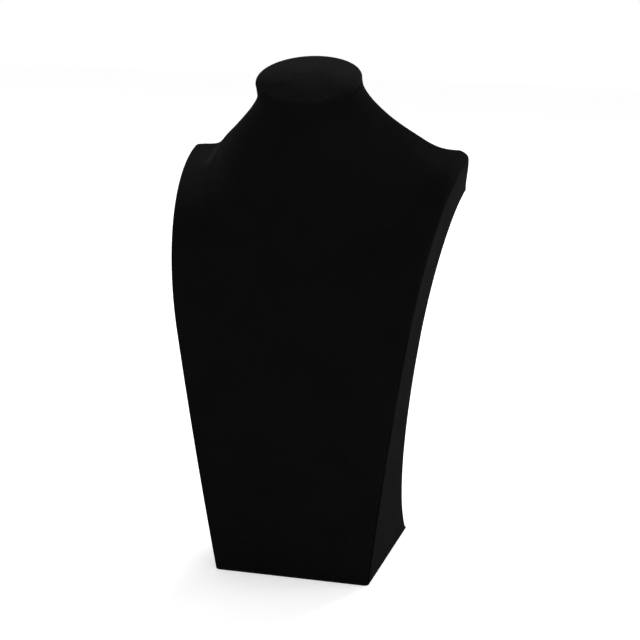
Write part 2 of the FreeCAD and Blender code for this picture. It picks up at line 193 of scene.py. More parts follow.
def front_and_back(across, length):
    """A point of front or back: across is -1 and 1 at the two seams with the sides."""
    place, outward = on_outline(length)
    width = half_width(place[..., 1])
    x = across * (width - SEAM_INSET)
    place = place - outward * turned_down(width - np.abs(x))[..., None]
    return np.concatenate([x[..., None], place], -1)


print(f"half width {half_width(0.0):.1f} at the floor, {half_width(SHOULDER[1]):.1f} at the ridge")

# %% [markdown]
# ## Padding
# The real bust isn't the same on both sides. Under the velvet of the left shoulder lies more
# padding, so that its upper face is fuller and its corner rounder. It could be sculpted, piece by
# piece. But here every cover passes its points through the same soft lift, so that two covers
# that meet in a seam are lifted alike and stay together.

# %% Padding of the left shoulder
PAD_CENTRE, PAD_FULL, PAD_END = np.array([0.0, 286.0]), 22.0, 50.0
PAD_START, PAD_WIDTH = 44.0, 43.0
PAD_RISE, PAD_OUT = 5.1, 1.7
PAD_FOOT, PAD_FOOT_BAND = 252.0, 12.0
CORNER_START, CORNER_WIDTH, CORNER_DROP = 89.5, 8.5, 3.6
PULLS = [(1.2, (-70.0, -3.0, 287.0), 17.0), (1.1, (-83.0, 17.0, 284.5), 15.0)]
NECK_ASIDE, ASIDE_START, ASIDE_FULL = 0.35, 312.0, 324.0


def eased(part):
    """From 0 to 1 without a kink at either end: 3 p^2 - 2 p^3."""
    part = np.clip(part, 0, 1)
    return part * part * (3 - 2 * part)


def near_place(points, place, reach):
    """1 at a place, falling to 0 at its reach."""
    return eased(1 - np.linalg.norm(points - np.array(place), axis=-1) / reach)


def padded(points):
    """Points of any cover, lifted by the padding.

    The lift is a soft step across, from the neck outwards, times a soft step in the side view
    around the padding's middle. It grows smaller again at the corner. On the other shoulder the
    cloth only stands up a little where it is pulled towards the neck. The neck's upper part
    stands a little aside.
    """
    across = eased((points[..., 0] - PAD_START) / PAD_WIDTH)
    apart = np.linalg.norm(points[..., 1:] - PAD_CENTRE, axis=-1)
    lift = across * eased((PAD_END - apart) / (PAD_END - PAD_FULL))
    lift = lift * eased((points[..., 2] - PAD_FOOT) / PAD_FOOT_BAND)
    rise = PAD_RISE - CORNER_DROP * eased((points[..., 0] - CORNER_START) / CORNER_WIDTH)
    pulled = sum(height * near_place(points, place, reach) for height, place, reach in PULLS)
    aside = NECK_ASIDE * eased((points[..., 2] - ASIDE_START) / (ASIDE_FULL - ASIDE_START))
    return points + np.stack([PAD_OUT * lift - aside, 0 * lift, rise * lift + pulled], -1)


crown = np.array([CORNER_START, *PAD_CENTRE])
print(f"the padding moves {crown} by {(padded(crown) - crown).round(1)}")

# %% [markdown]
# ## Meshes from grids
# Every cover is a grid of points. Neighbouring rows and columns make its faces, and numpy works
# them all out at once. A sheet without thickness would show a bare edge where it ends, and one
# with a thickness all over would double its faces for what nobody sees. So only the outer rows
# are turned in, as the cloth is turned in at a seam.

# %% From a grid to a piece
HEM_OUT, HEM_DEPTH = 0.14, 1.1


def along(grid, axis):
    """Directions from each point of a grid to the next ones, of length 1."""
    steps = np.gradient(grid, axis=axis)
    return steps / np.maximum(np.linalg.norm(steps, axis=-1, keepdims=True), 1e-9)


def facing(grid, closed):
    """Directions square to a grid of points, worked out from its rows and columns."""
    if closed:
        grid = np.concatenate([grid[:, -2:], grid, grid[:, :2]], axis=1)
    square = np.cross(along(grid, 1), along(grid, 0))
    square /= np.maximum(np.linalg.norm(square, axis=-1, keepdims=True), 1e-9)
    return square[:, 2:-2] if closed else square


def hemmed(grid, closed=False):
    """A grid with its outer rows turned in: a little further out and then straight down."""
    for axis in (0,) if closed else (0, 1):
        square, run = facing(grid, closed), along(grid, axis)
        rims = []
        for index, sign in ((0, -1), (-1, 1)):
            pick = [slice(None)] * 2
            pick[axis] = [index]
            rim, way, up = grid[tuple(pick)], sign * run[tuple(pick)], square[tuple(pick)]
            rims.append([rim + HEM_OUT * (way - up), rim + HEM_OUT * way - HEM_DEPTH * up])
        grid = np.concatenate([*rims[0][::-1], grid, *rims[1]], axis=axis)
    return grid


def piece_from_grid(name, grid, closed=False, cap_first=False, cap_last=False, lean=None):
    """A smooth piece from a grid of points in millimetres, its faces outward.

    Painted sheen gives each point an amount of painted highlight, kept in a mesh attribute that its
    colour follows.
    """
    rows, columns = grid.shape[:2]
    number = np.arange(rows * columns).reshape(rows, columns)
    if closed:
        number = np.concatenate([number, number[:, :1]], axis=1)
    corners = [number[:-1, :-1], number[:-1, 1:], number[1:, 1:], number[1:, :-1]]
    faces = np.stack(corners, -1).reshape(-1, 4).tolist()
    if cap_first:
        faces.append(number[0, :columns][::-1].tolist())
    if cap_last:
        faces.append(number[-1, :columns].tolist())
    mesh = bpy.data.meshes.new(name)
    mesh.from_pydata((grid.reshape(-1, 3) * METRES).tolist(), [], faces)
    mesh.shade_smooth()
    mesh.update()
    if lean is not None:
        painted_sheen_layer = mesh.attributes.new("lean", "FLOAT", "POINT")
        painted_sheen_layer.data.foreach_set("value", np.ascontiguousarray(lean, np.float32).ravel())
    piece = bpy.data.objects.new(name, mesh)
    bpy.context.scene.collection.objects.link(piece)
    area = sum(face.area for face in mesh.polygons)
    print(f"{name}: {len(faces)} faces, {area * 1e4:.0f} square cm")
    return piece

# %% [markdown]
# ## The neck's surface
# The neck is an oval that grows into a wide egg as it sinks into the shoulders. A curve runs down
# the throat and another down the nape, and each section of the neck is an egg between a point of
# the one and a point of the other. That is how the solid was lofted as well, so the velvet lies
# on it without any fitting of one mesh to another.

# %% Curves and sections of the neck
NECK_WIDTH, NECK_DEPTH, NECK_SETBACK = 70.4, 64.8, 24.6
TOP_SLOPE, NECK_LEAN = math.radians(24), math.radians(18.5)
THROAT_TURN, THROAT_LENGTH, THROAT_PULL = math.radians(14), 33.0, 52.0
NAPE_MARGIN, NAPE_LENGTH, NAPE_PULL = 8.0, 20.0, 24.0
FLARE_WIDTH, FLARE_SHIFT, FLARE_SINK = 177.0, 62.0, 2.5
FLARE_START, FLARE_END, FLARE_SHIFT_POWER, FLARE_SQUARENESS = 0.08, 0.87, 1.3, 2.2
TOP_EGG, EGG_END = 1.2, 0.3

down_neck = np.array([math.sin(NECK_LEAN), -math.cos(NECK_LEAN)])
down_slope = np.array([math.cos(TOP_SLOPE), math.sin(TOP_SLOPE)])
into_top = np.array([math.sin(TOP_SLOPE), -math.cos(TOP_SLOPE)])
TOP_MIDDLE = np.array([NECK_SETBACK - BASE_DEPTH / 2,
                       OVERALL_HEIGHT - NECK_DEPTH / 2 * math.sin(TOP_SLOPE)])
end_run = (TIP - SHOULDER) / np.linalg.norm(TIP - SHOULDER)
throat_foot = on_arc(CHEST_CENTRE, CHEST_RADIUS - FLARE_SINK, math.degrees(THROAT_TURN))
throat_way = np.array([math.sin(THROAT_TURN), math.cos(THROAT_TURN)])
nape_foot = TIP - NAPE_MARGIN * end_run + FLARE_SINK * np.array([end_run[1], -end_run[0]])
throat_top = TOP_MIDDLE - NECK_DEPTH / 2 * down_slope
nape_top = TOP_MIDDLE + NECK_DEPTH / 2 * down_slope
THROAT = np.array([throat_top, throat_top + THROAT_LENGTH * down_neck,
                   throat_foot + THROAT_PULL * throat_way, throat_foot])
NAPE = np.array([nape_top, nape_top + NAPE_LENGTH * down_neck,
                 nape_foot - NAPE_PULL * end_run, nape_foot])


def cubic(points, part):
    """Places along a cubic curve of four points, for parts from 0 to 1."""
    left = 1 - part
    shares = np.stack([left**3, 3 * left**2 * part, 3 * left * part**2, part**3], -1)
    return shares @ points


def powered(number, power):
    """A number raised to a power, with its sign kept."""
    return np.sign(number) * np.abs(number) ** power


def neck_surface(angle, part):
    """A point of the neck: an angle round it from the wearer's left side, a part of the way down.

    The section is an egg: across it w cos^p, and from throat to nape s + (d - s) sin^p, where
    the widest line lies s behind the middle of the section of half depth d.
    """
    front, rear = cubic(THROAT, part), cubic(NAPE, part)
    span = np.linalg.norm(rear - front, axis=-1)
    way = (rear - front) / span[..., None]
    spread = eased((part - FLARE_START) / (FLARE_END - FLARE_START))
    half = NECK_WIDTH / 2 + (FLARE_WIDTH - NECK_WIDTH) / 2 * spread
    power = 2 / (2 + (FLARE_SQUARENESS - 2) * eased(part))
    side, fore = np.cos(angle), np.sin(angle)
    behind = FLARE_SHIFT * part**FLARE_SHIFT_POWER + TOP_EGG * (1 - eased(part / EGG_END))
    reach = span / 2 - np.sign(fore) * behind
    place = front + way * (span / 2 + behind + reach * powered(fore, power))[..., None]
    return np.concatenate([(half * powered(side, power))[..., None], place], -1)


def depth_in_body(points):
    """How deep points lie in the body near the shoulders, below nothing where it is negative."""
    flat = points[..., 1:]
    under_chest = CHEST_RADIUS - np.linalg.norm(flat - CHEST_CENTRE, axis=-1)
    above_nape = np.linalg.norm(flat - NAPE_CENTRE, axis=-1) - NAPE_RADIUS
    behind_face = (flat - SHOULDER) @ np.array([end_run[1], -end_run[0]])
    return np.minimum(np.minimum(under_chest, above_nape), behind_face)


print(f"oval of {NECK_WIDTH} by {NECK_DEPTH} mm, its middle at {TOP_MIDDLE.round(1)}")

# %% [markdown]
# ## The front cover
# One piece of velvet lies over the chest, the shoulders and round the neck. It is laid out in
# lines that run from the neck's top down the neck, over the crease where it meets the shoulders,
# and on to the edge of the cover. So one grid holds the whole cloth. Stretched cloth spans a
# crease in a soft curve, so near it each line follows a curve between a point on the neck and a
# point on the shoulder.

# %% Lines from the neck's top to the cover's edge
RIDGE_MARGIN = 6.0
STATIONS = {
    "columns": [0, 30, 110, 190, 226],
    "angle": [-90, -64, -4, 50, 90],
    "edge": [0, BASE_WIDTH / 2, BASE_WIDTH / 2 + RIDGE - RIDGE_MARGIN, BASE_WIDTH / 2 + LAP,
             BASE_WIDTH / 2 + LAP + half_width(TIP[1])],
}
SEARCH_FROM, SEARCH_STEPS = 0.3, 700


def crease_part(angle):
    """The part of the way down at which each line of the neck goes under the body's surface."""
    parts = np.linspace(SEARCH_FROM, 1, SEARCH_STEPS)
    depth = depth_in_body(neck_surface(angle[None, :], parts[:, None] + 0 * angle))
    under = depth > 0
    first = np.where(under.any(axis=0), np.argmax(under, axis=0), len(parts) - 1)
    before = np.maximum(first - 1, 0)
    column = np.arange(len(angle))
    high, low = depth[before, column], depth[first, column]
    share = np.clip(-high / np.where(low == high, 1, low - high), 0, 1)
    return parts[before] + share * (parts[first] - parts[before])


def cover_edge(places):
    """Across and length of points on the cover's edge, from the middle of its foot upwards."""
    foot, side = BASE_WIDTH / 2, BASE_WIDTH / 2 + LAP
    across = np.clip(places / foot, 0, 1)
    beyond = (places - side) / (STATIONS["edge"][-1] - side)
    across = np.where(places > side, 1 - beyond, across)
    return across, np.clip(places - foot, 0, LAP)


column = np.arange(STATIONS["columns"][-1] + 1)
angle = np.radians(np.interp(column, STATIONS["columns"], STATIONS["angle"]))
edge_across, edge_length = cover_edge(np.interp(column, STATIONS["columns"], STATIONS["edge"]))
crease = crease_part(angle)
crease_points = neck_surface(angle, crease)
crease_length = nearest_length(crease_points[:, 1:])
crease_across = crease_points[:, 0] / (half_width(crease_points[:, 2]) - SEAM_INSET)
print(f"crease from {crease.min():.2f} to {crease.max():.2f}, widest {crease_points[:, 0].max():.0f}")

# %% [markdown]
# ## From lines to cloth
# The lines of one half are walked in rows, first down the neck and then over the body, and the
# other half is their mirror image. Only the span over the crease differs: on the left, where the
# padding is, the cloth lies in a wider curve. A cloth simulation would find such a span as well,
# but glued cloth doesn't hang, and a curve of three points gives the same form each time.

# %% The grid of the front cover
NECK_ROWS, BODY_ROWS = 60, 112
TUCK, EDGE_CROWDING = 0.4, 1.35
CREASE_FRONT, CREASE_LEFT, CREASE_RIGHT = 14.0, 21.0, 12.0
LONGEST_SPAN = 0.8

part = np.linspace(0, 1, NECK_ROWS)[:, None] * crease
neck_rows = neck_surface(angle + 0 * part, part)
neck_rows[0, :, 1:] += TUCK * into_top
run = 1 - (1 - np.linspace(0, 1, BODY_ROWS)[1:, None]) ** EDGE_CROWDING
body_rows = front_and_back(crease_across + (edge_across - crease_across) * run,
                           crease_length + (edge_length - crease_length) * run)
half = np.concatenate([neck_rows, body_rows])


def bridge_crease(grid, row, side_reach):
    """Spans the crease at a row: each line takes (1 - t)^2 A + 2 t (1 - t) C + t^2 B there.

    A and B lie a reach away from the crease's point C, but within LONGEST_SPAN of the line.
    """
    steps = np.linalg.norm(np.diff(grid, axis=0), axis=-1)
    lengths = np.concatenate([np.zeros((1, grid.shape[1])), np.cumsum(steps, axis=0)])
    lengths -= lengths[row]
    reach = CREASE_FRONT + (side_reach - CREASE_FRONT) * np.cos(angle) ** 2
    reach = np.minimum(reach, LONGEST_SPAN * np.minimum(lengths[-1], -lengths[0]))
    result = grid.copy()
    for number in range(grid.shape[1]):
        near = np.abs(lengths[:, number]) < reach[number]
        ends = [np.array([np.interp(place, lengths[:, number], axis) for axis in grid[:, number].T])
                for place in (-reach[number], reach[number])]
        t = (lengths[near, number] / reach[number] + 1)[:, None] / 2
        result[near, number] = ((1 - t) ** 2 * ends[0] + 2 * t * (1 - t) * grid[row, number]
                                + t**2 * ends[1])
    return result


left = bridge_crease(half, NECK_ROWS - 1, CREASE_LEFT)
right = bridge_crease(half, NECK_ROWS - 1, CREASE_RIGHT)[:, -2:0:-1] * np.array([-1, 1, 1])
smooth_grid = padded(np.concatenate([left, right], axis=1)[:, ::-1])

# %% [markdown]
# ## Folds that the cloth is pulled into, with painted sheen
# On the right shoulder the velvet was drawn tight into the corner at the neck's foot. A few low
# folds fan out from there, and along them the colour is made much lighter as a painted highlight
# of their sheen, with less of it along the one that sinks. They could be sculpted or drawn into a
# picture. But as each fold is only a line between two places, near which the cloth stands up or
# sinks a little, one formula makes both their form and their painted tone. Broad spots of painted
# sheen lighten both shoulders as well.

# %% The front cover with its folds
PULLED_FROM = np.array([-69.5, -1.5, 289.0])
# Each fold's last number is painted sheen: how much lighter its colour is made along it.
FOLDS = [
    {"to": (-82.0, -18.0, 271.0), "width": 4.6, "height": 0.8, "lean": 1.0},
    {"to": (-90.0, -11.0, 275.5), "width": 5.0, "height": 0.5, "lean": 0.5},
    {"to": (-75.5, -23.0, 271.0), "width": 3.2, "height": -0.6, "lean": -0.15},
    {"to": (-67.0, -28.0, 274.5), "width": 4.0, "height": 0.4, "lean": 0.3},
]
# Broad spots of painted sheen, where the shoulders turn away and their velvet catches the light at a
# slant.
PAINTED_SHEEN_SPOTS = [
    {"at": (-88.0, -12.0, 274.0), "reach": 64.0, "lean": 0.42},
    {"at": (90.0, 0.0, 284.0), "reach": 46.0, "lean": 0.12},
]


def near_fold(points, end, width):
    """1 on the line of a fold and 0 a width away from it, fading along its last half."""
    run = np.array(end) - PULLED_FROM
    away = points - PULLED_FROM
    share = np.clip(away @ run / (run @ run), 0, 1)
    apart = np.linalg.norm(away - share[..., None] * run, axis=-1)
    return eased(1 - apart / (width * (0.5 + share))) * (1 - eased(2 * share - 1))


rise = sum(fold["height"] * near_fold(smooth_grid, fold["to"], fold["width"]) for fold in FOLDS)
front_grid = hemmed(smooth_grid + rise[..., None] * facing(smooth_grid, closed=True), closed=True)
# Painted highlight from the folds and spots, which the velvet's colour follows.
front_lean = (sum(fold["lean"] * near_fold(front_grid, fold["to"], fold["width"]) for fold in FOLDS)
              + sum(spot["lean"] * near_place(front_grid, spot["at"], spot["reach"])
                    for spot in PAINTED_SHEEN_SPOTS))
front_cover = piece_from_grid("front_velvet", front_grid, closed=True, lean=front_lean)

# %% [markdown]
# ## The back cover
# The back is bent one way only, so its grid is straight across. Its columns lie closer together
# near the seams, where the surface turns down.

# %% Back cover
BACK_COLUMNS, BACK_ROWS = 90, 150
across = np.linspace(-1, 1, BACK_COLUMNS)[None, :]
length = np.linspace(LAP + 2 * SEAM_GAP, WHOLE, BACK_ROWS)[:, None]
edges = np.sin(across * math.pi / 2)
back_grid = padded(front_and_back(edges + 0 * length, length + 0 * edges))
back_cover = piece_from_grid("back_velvet", hemmed(back_grid))

# %% [markdown]
# ## The sides
# The velvet on each side is a strip between the chest's outline and the back's, cut to their
# form. Lines from the one to the other fill it. Extruding the outline and filling it with one
# face would be quicker, but that face could neither bow inwards nor turn down at its edges.

# %% Side covers
SIDE_ROWS, SIDE_COLUMNS = 200, 60
BLOCKS = 40


def distance_to_outline(places):
    """How far places of the side view are from the outline, in blocks to save memory."""
    blocks = np.array_split(places.reshape(-1, 2), BLOCKS)
    near = [np.linalg.norm(OUTLINE[None] - block[:, None], axis=-1).min(axis=1) for block in blocks]
    return np.concatenate(near).reshape(places.shape[:-1])


def side_grid(sign):
    """The strip on one side: straight lines from the chest's outline to the back's."""
    rise = np.linspace(0, 1, SIDE_ROWS)
    corner = (RIDGE, TIP_LENGTH)
    chest, out_chest = on_outline(rise * corner[0])
    back, out_back = on_outline(WHOLE - rise * (WHOLE - corner[1]))
    chest, back = chest - SEAM_INSET * out_chest, back - SEAM_INSET * out_back
    cross = (1 - np.cos(np.linspace(0, math.pi, SIDE_COLUMNS)))[None, :, None] / 2
    places = chest[:, None] * (1 - cross) + back[:, None] * cross
    depth = turned_down(distance_to_outline(places))
    x = sign * (half_width(places[..., 1]) - depth)
    grid = padded(np.concatenate([x[..., None], places], -1))
    return grid if sign > 0 else grid[:, ::-1]


side_covers = {hand: piece_from_grid(f"side_velvet_{hand}", hemmed(side_grid(sign)))
               for hand, sign in (("left", 1), ("right", -1))}

# %% [markdown]
# ## The oval on the neck
# A separate oval of velvet closes the neck. Its rim is rolled over the cut edge of the front
# cover, so the oval stands a little proud of it all round. Rings from its middle outwards, over
# the rim and back under it, make the disc and its roll in one grid, with no joint to hide.

# %% Neck cover
OVAL_COLUMNS, OVAL_RINGS, RIM_RINGS = 240, 40, 14
OVAL_HOLE, RING_CROWDING, OVAL_CROWN = 0.02, 0.8, 0.5
RIM_ROUND, RIM_TURN = 1.3, 120
RIM_PROUD, TOP_PROUD = 0.15, 1.3
# The rim's painted sheen: its amount, where it starts, its width and how far to the front it reaches.
RIM_PAINTED_SHEEN, RIM_FROM, RIM_BAND, REAR_FROM = 0.3, 0.93, 0.07, 0.6


def neck_oval():
    """Rings from the middle of the oval to its rim and round it, and a little way back under."""
    turn = np.linspace(0, 2 * math.pi, OVAL_COLUMNS, endpoint=False)
    rim = np.radians(np.linspace(0, RIM_TURN, RIM_RINGS))[1:]
    inner = np.linspace(OVAL_HOLE, 1, OVAL_RINGS) ** RING_CROWDING
    inset = np.concatenate([0 * inner + RIM_ROUND, RIM_ROUND * (1 - np.sin(rim))])
    drop = np.concatenate([OVAL_CROWN * inner**2, OVAL_CROWN + RIM_ROUND * (1 - np.cos(rim))])
    drop -= TOP_PROUD
    share = np.concatenate([inner, 0 * rim + 1])
    proud = (RIM_PROUD - inset)[:, None]
    wide = share[:, None] * (NECK_WIDTH / 2 + proud) * np.cos(turn)
    fore = np.sin(turn)
    deep = share[:, None] * (TOP_EGG + (NECK_DEPTH / 2 + proud - np.sign(fore) * TOP_EGG) * fore)
    place = (TOP_MIDDLE + deep[..., None] * down_slope
             + (drop[:, None] + 0 * deep)[..., None] * into_top)
    return padded(np.concatenate([wide[..., None], place], -1))


def rim_lean(points):
    """Painted sheen on the rim, more at the rear: 0 inside, growing over 2.5 mm."""
    across = points[..., 0] / (NECK_WIDTH / 2)
    behind = (points[..., 1:] - TOP_MIDDLE) @ down_slope / (NECK_DEPTH / 2)
    at_rim = eased((np.hypot(across, behind) - RIM_FROM) / RIM_BAND)
    return RIM_PAINTED_SHEEN * at_rim * eased(behind + REAR_FROM)


oval = neck_oval()[:, ::-1]
neck_cover = piece_from_grid("neck_velvet", oval, closed=True, cap_first=True, lean=rim_lean(oval))

# %% [markdown]
# ## The sheet under the foot
# A stiff black sheet closes the foot. Its corners are cut round to follow the velvet, and its
# lower edge is worn a little round. A cube with bevels would come close, but the sheet tapers
# with the body. So each ring of it is worked out at its own height: a rectangle whose round
# corners are a quarter turn about each corner's own middle.

# %% Underside sheet
FOOT_EDGE, FOOT_INNER = 0.4, 12.0
EDGE_BREAK = FOOT_EDGE / 4
CORNER_POINTS = 9


def foot_ring(inset, height):
    """A rectangle with round corners: (w - r) sign(cos) + r cos across, and likewise in depth."""
    quarter = np.linspace(0, math.pi / 2, CORNER_POINTS)
    turn = np.concatenate([quarter + start * math.pi / 2 for start in range(4)])
    hand, fore = (np.repeat(signs, len(quarter)) for signs in ((1, -1, -1, 1), (1, 1, -1, -1)))
    share = height / UNDERSIDE
    front = -BASE_DEPTH / 2 + (OUTLINE[0][0] + BASE_DEPTH / 2) * share
    rear = BASE_DEPTH / 2 + (OUTLINE[-1][0] - BASE_DEPTH / 2) * share
    wide, deep = half_width(height) - inset, (rear - front) / 2 - inset
    x = hand * (wide - EDGE_ROUND) + EDGE_ROUND * np.cos(turn)
    y = (front + rear) / 2 + fore * (deep - EDGE_ROUND) + EDGE_ROUND * np.sin(turn)
    return np.stack([x, y, 0 * x + height], -1)


foot_rings = [(FOOT_INNER, 0.0), (FOOT_EDGE, 0.0), (EDGE_BREAK, EDGE_BREAK), (0.0, FOOT_EDGE),
              (0.0, UNDERSIDE - EDGE_BREAK), (FOOT_INNER, UNDERSIDE)]
foot_grid = np.stack([foot_ring(inset, height) for inset, height in foot_rings])
foot_card = piece_from_grid("foot_card", foot_grid, closed=True, cap_first=True, cap_last=True)

# %% [markdown]
# ## Shader sums
# The tone of cloth, board and card varies without any picture: patterns are sums of noises. Node
# by node such a sum is long to write and hard to read. So one class wraps a socket, and a sum
# written in Python adds the Math nodes for it, while one method adds any other node.


# %% Sockets that can be reckoned with
class Pattern:
    """An output socket of a material's nodes, with the arithmetic that the finishes use."""

    def __init__(self, finish, socket):
        self.finish, self.socket = finish, socket

    def math(self, operation, first, second):
        return self.finish.node("ShaderNodeMath", {"operation": operation}, {0: first, 1: second})

    def __add__(self, other):
        return self.math("ADD", self, other)

    def __sub__(self, other):
        return self.math("SUBTRACT", self, other)

    def __mul__(self, other):
        return self.math("MULTIPLY", self, other)


class Finish:
    """The nodes of a material or of the world, while they are put together."""

    def __init__(self, owner):
        self.owner = owner
        owner.use_nodes = True
        self.tree = owner.node_tree
        self.tree.nodes.clear()

    @property
    def place(self):
        return self.node("ShaderNodeTexCoord", output="Object")

    def node(self, kind, settings=None, inputs=None, output=0):
        """Adds a node: its settings first, then the values or links of its sockets.

        It returns one output of the node, and nothing where the node is itself an output.
        """
        node = self.tree.nodes.new(kind)
        for key, setting in (settings or {}).items():
            setattr(node, key, setting)
        for key, given in (inputs or {}).items():
            if isinstance(given, Pattern):
                self.tree.links.new(given.socket, node.inputs[key])
            else:
                node.inputs[key].default_value = given
        return Pattern(self, node.outputs[output]) if node.outputs else None

    def noise(self, size, detail):
        """Cloudy noise whose spots are about size millimetres, from 0 to 1."""
        return self.node("ShaderNodeTexNoise", None, {
            "Vector": self.place, "Scale": 1 / (size * METRES), "Detail": detail})

    def between(self, pattern, low, high, start, end):
        """A pattern's values from start to end, spread from low to high and held beyond."""
        return self.node("ShaderNodeMapRange", {"interpolation_type": "SMOOTHSTEP"}, {
            "Value": pattern, "From Min": start, "From Max": end, "To Min": low, "To Max": high})

    def blend(self, share, first, second):
        """The colour between two, at a share of the way. The first may itself be a pattern."""
        return self.node("ShaderNodeMix", {"data_type": "RGBA"}, {
            "Factor": share, 6: first if isinstance(first, Pattern) else (*first, 1),
            7: (*second, 1)}, output=2)

    def surface(self, bump=None, **sockets):
        """Ends the material in one shader and returns it. Bump is its height and its depth in mm."""
        inputs = {key.replace("_", " "): given for key, given in sockets.items()}
        if bump is not None:
            height, depth = bump
            inputs["Normal"] = self.node("ShaderNodeBump", None, {
                "Height": height, "Distance": depth * METRES, "Strength": 1.0})
        self.end(self.node("ShaderNodeBsdfPrincipled", None, inputs), "ShaderNodeOutputMaterial")
        return self.owner

    def end(self, shader, kind):
        """Leads a shader to the output of the material or of the world."""
        self.node(kind, None, {"Surface": shader})

# %% [markdown]
# ## Black velvet
# Velvet is a field of upright fibres. Looked straight at, light sinks in between them and it is
# almost black. At a slant the fibres' flanks catch light, which is what the sheen of the shader
# stands for. Where hands or glue pressed the pile, patches lean together and look a little
# lighter or darker, so the tone drifts over centimetres and is grainy over tenths of one. Hair
# could make every fibre, but from here they are far smaller than a pixel, and a shader is enough.

# %% Velvet
VELVET_SHEEN, SHEEN_GREY, SHEEN_SPREAD = 0.035, 0.6, 0.3
# The lighter grey that painted sheen turns the velvet towards.
PAINTED_SHEEN_GREY = (0.0175, 0.0175, 0.0185)
PATCH_SIZE, CLUMP_SIZE, GRAIN_SIZE = 30.0, 2.6, 0.8
PATCH_FROM, PATCH_TO = 0.3, 0.72
GRAIN_TONE, GRAIN_HEIGHT, PILE_DEPTH = 0.4, 0.6, 0.35


def velvet(name, dark, light, patch=0.2, mottle=0.3, slope=None):
    """Velvet between two grey levels, with drifting patches and the grain of its pile.

    A slope is a row of (direction, start, end, high, low): along that direction the tone also
    falls from high to low, between two distances from the origin in millimetres. A mesh attribute
    of painted sheen turns the colour towards a lighter grey, as a painted highlight.
    """
    finish = Finish(bpy.data.materials.new(name))
    patches = finish.between(finish.noise(PATCH_SIZE, 3.0), 0, 1, PATCH_FROM, PATCH_TO)
    clumps = finish.noise(CLUMP_SIZE, 3.0)
    grain = finish.noise(GRAIN_SIZE, 2.0)
    share = patches * patch + clumps * mottle + grain * GRAIN_TONE - mottle / 3
    if slope:
        direction, start, end, high, low = slope
        along_slope = finish.node("ShaderNodeVectorMath", {"operation": "DOT_PRODUCT"},
                                  {0: finish.place, 1: direction}, output="Value")
        share = share + finish.between(along_slope, high, low, start * METRES, end * METRES)
    height = grain * GRAIN_HEIGHT + clumps * (1 - GRAIN_HEIGHT)
    # The colour turns towards a lighter grey by the amount of painted sheen stored on the mesh.
    lean = finish.node("ShaderNodeAttribute", {"attribute_name": "lean"}, output="Fac")
    upright = finish.blend(share, (dark,) * 3, (light,) * 3)
    return finish.surface(
        bump=(height, PILE_DEPTH), Base_Color=finish.blend(lean, upright, PAINTED_SHEEN_GREY),
        Roughness=1.0, Specular_IOR_Level=0.0, Sheen_Weight=VELVET_SHEEN, Sheen_Roughness=SHEEN_SPREAD,
        Sheen_Tint=(SHEEN_GREY, SHEEN_GREY, SHEEN_GREY, 1.0))


front_finish = velvet("front velvet", 0.0036, 0.0066)
side_finish = velvet("side velvet", 0.0022, 0.0064, patch=0.45, mottle=0.45,
                     slope=((0, 0, -1), -230.0, -10.0, 0.05, -0.45))
# The neck's velvet is lighter than the front's, and lighter still towards the rear of its top: painted
# light from above and behind.
neck_painted_light_finish = velvet("neck velvet", 0.005, 0.0128, patch=0.5, mottle=0.55,
                     slope=((0, -1, 0), 14.0, 60.0, 0.72, -0.5))
for cover in (front_cover, back_cover):
    cover.data.materials.append(front_finish)
for cover in side_covers.values():
    cover.data.materials.append(side_finish)
neck_cover.data.materials.append(neck_painted_light_finish)
print("velvets:", ", ".join(finish.name for finish in (front_finish, side_finish, neck_painted_light_finish)))

# %% [markdown]
# ## Boards, shell and card
# They are seen only where the bust is turned over or taken apart, but they are finished as well:
# pressed fibreboard is speckled brown, the moulded shell is grey plastic with a faint orange
# peel, and the sheet underneath is dark card. All three are two tones and a bump from one noise,
# so one function makes them, and their sizes and colours tell them apart.

# %% Hidden materials
SPECK_SHARE, ROUGHNESS_SPREAD = 0.7, 0.08


def speckled(name, dark, light, size, depth, roughness, shine=0.5):
    """A matt finish with specks of a given size in two tones."""
    finish = Finish(bpy.data.materials.new(name))
    specks = finish.noise(size, 4.0)
    drift = finish.noise(PATCH_SIZE, 2.0)
    share = finish.between(specks * SPECK_SHARE + drift * (1 - SPECK_SHARE), 0, 1, 0.3, 0.7)
    rough = finish.between(specks, roughness - ROUGHNESS_SPREAD, roughness + ROUGHNESS_SPREAD, 0, 1)
    return finish.surface(bump=(specks, depth), Base_Color=finish.blend(share, dark, light),
                          Roughness=rough, Specular_IOR_Level=shine)


plastic = speckled("moulded shell", (0.045,) * 3, (0.06,) * 3, 1.4, 0.06, 0.6)
fibreboard = speckled("fibreboard", (0.17, 0.1, 0.05), (0.28, 0.18, 0.1), 1.1, 0.05, 0.8)
card = speckled("underside card", (0.004,) * 3, (0.007,) * 3, 0.8, 0.08, 0.85, shine=0.05)
hidden = {
    "front_shell": plastic, "back_panel": plastic, "side_board_left": fibreboard,
    "side_board_right": fibreboard, "base_board": fibreboard, "neck_board": fibreboard,
}
for node, material in hidden.items():
    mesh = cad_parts[node].data
    mesh.materials.clear()
    mesh.materials.append(material)
foot_card.data.materials.append(card)
print("finished under the velvet:", ", ".join(hidden))

# %% [markdown]
# ## What stands for what
# Each cover takes the place of the plain solid of the same velvet and rides on the body.

